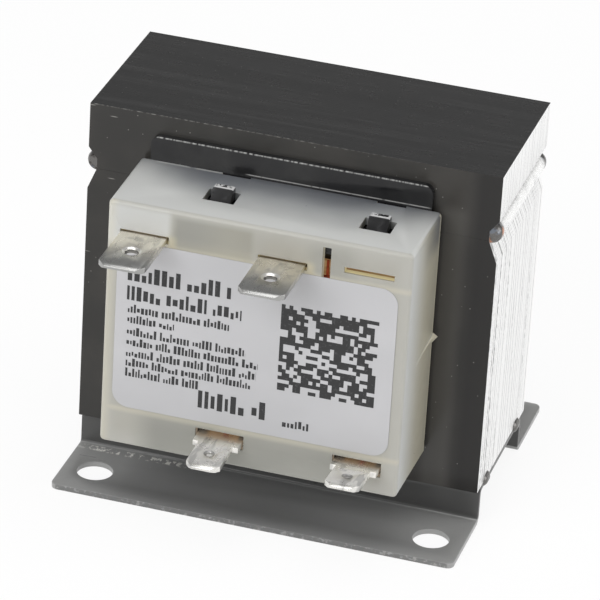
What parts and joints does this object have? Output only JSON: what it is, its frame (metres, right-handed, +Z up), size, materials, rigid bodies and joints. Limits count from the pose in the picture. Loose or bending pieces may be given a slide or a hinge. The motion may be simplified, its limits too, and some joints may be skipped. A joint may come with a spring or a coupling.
{
  "type": "foot-mounted control transformer",
  "caption": "Small foot-mounted control transformer with a welded laminated core, split bobbin, clip-on terminal cover and quick-connect tabs.",
  "frame": {"origin": "centre of the rectangle of foot holes, on the underside of the feet", "axes": "+X to the right when the terminals face the viewer, -Y to the front where the tabs stand out, +Z up from the feet to the top of the core"},
  "size_m": [0.058, 0.0608, 0.0533],
  "materials": {
    "core_steel": "dark varnish, semi-gloss",
    "bracket_steel": "dipped varnish over steel, satin",
    "weld_metal": "bare weld with heat tint",
    "bobbin_black": "moulded, glossy",
    "cover_milky": "natural translucent moulding, satin",
    "label_film": "matte film",
    "tab_metal": "tin-plated brass, bright",
    "copper_coil": "enamelled copper",
    "tape_tan": "polyester film",
    "lead_enamel": "red enamelled copper"
  },
  "bodies": {
    "root": {"base_bracket": "bracket_steel", "e_laminations": "core_steel", "i_laminations": "core_steel", "weld_bead_left": "weld_metal", "weld_bead_right": "weld_metal", "bracket_welds_left": "weld_metal", "bracket_welds_right": "weld_metal", "bobbin": "bobbin_black", "primary_winding": "copper_coil", "secondary_winding": "copper_coil", "primary_tape": "tape_tan", "secondary_tape": "tape_tan", "front_cover": "cover_milky", "rear_cover": "cover_milky", "label": "label_film", "primary_tab_left": "tab_metal", "primary_tab_right": "tab_metal", "secondary_tab_left": "tab_metal", "secondary_tab_right": "tab_metal", "primary_lead_left": "lead_enamel", "primary_lead_right": "lead_enamel", "secondary_lead_left": "lead_enamel", "secondary_lead_right": "lead_enamel"}
  },
  "joints": []
}
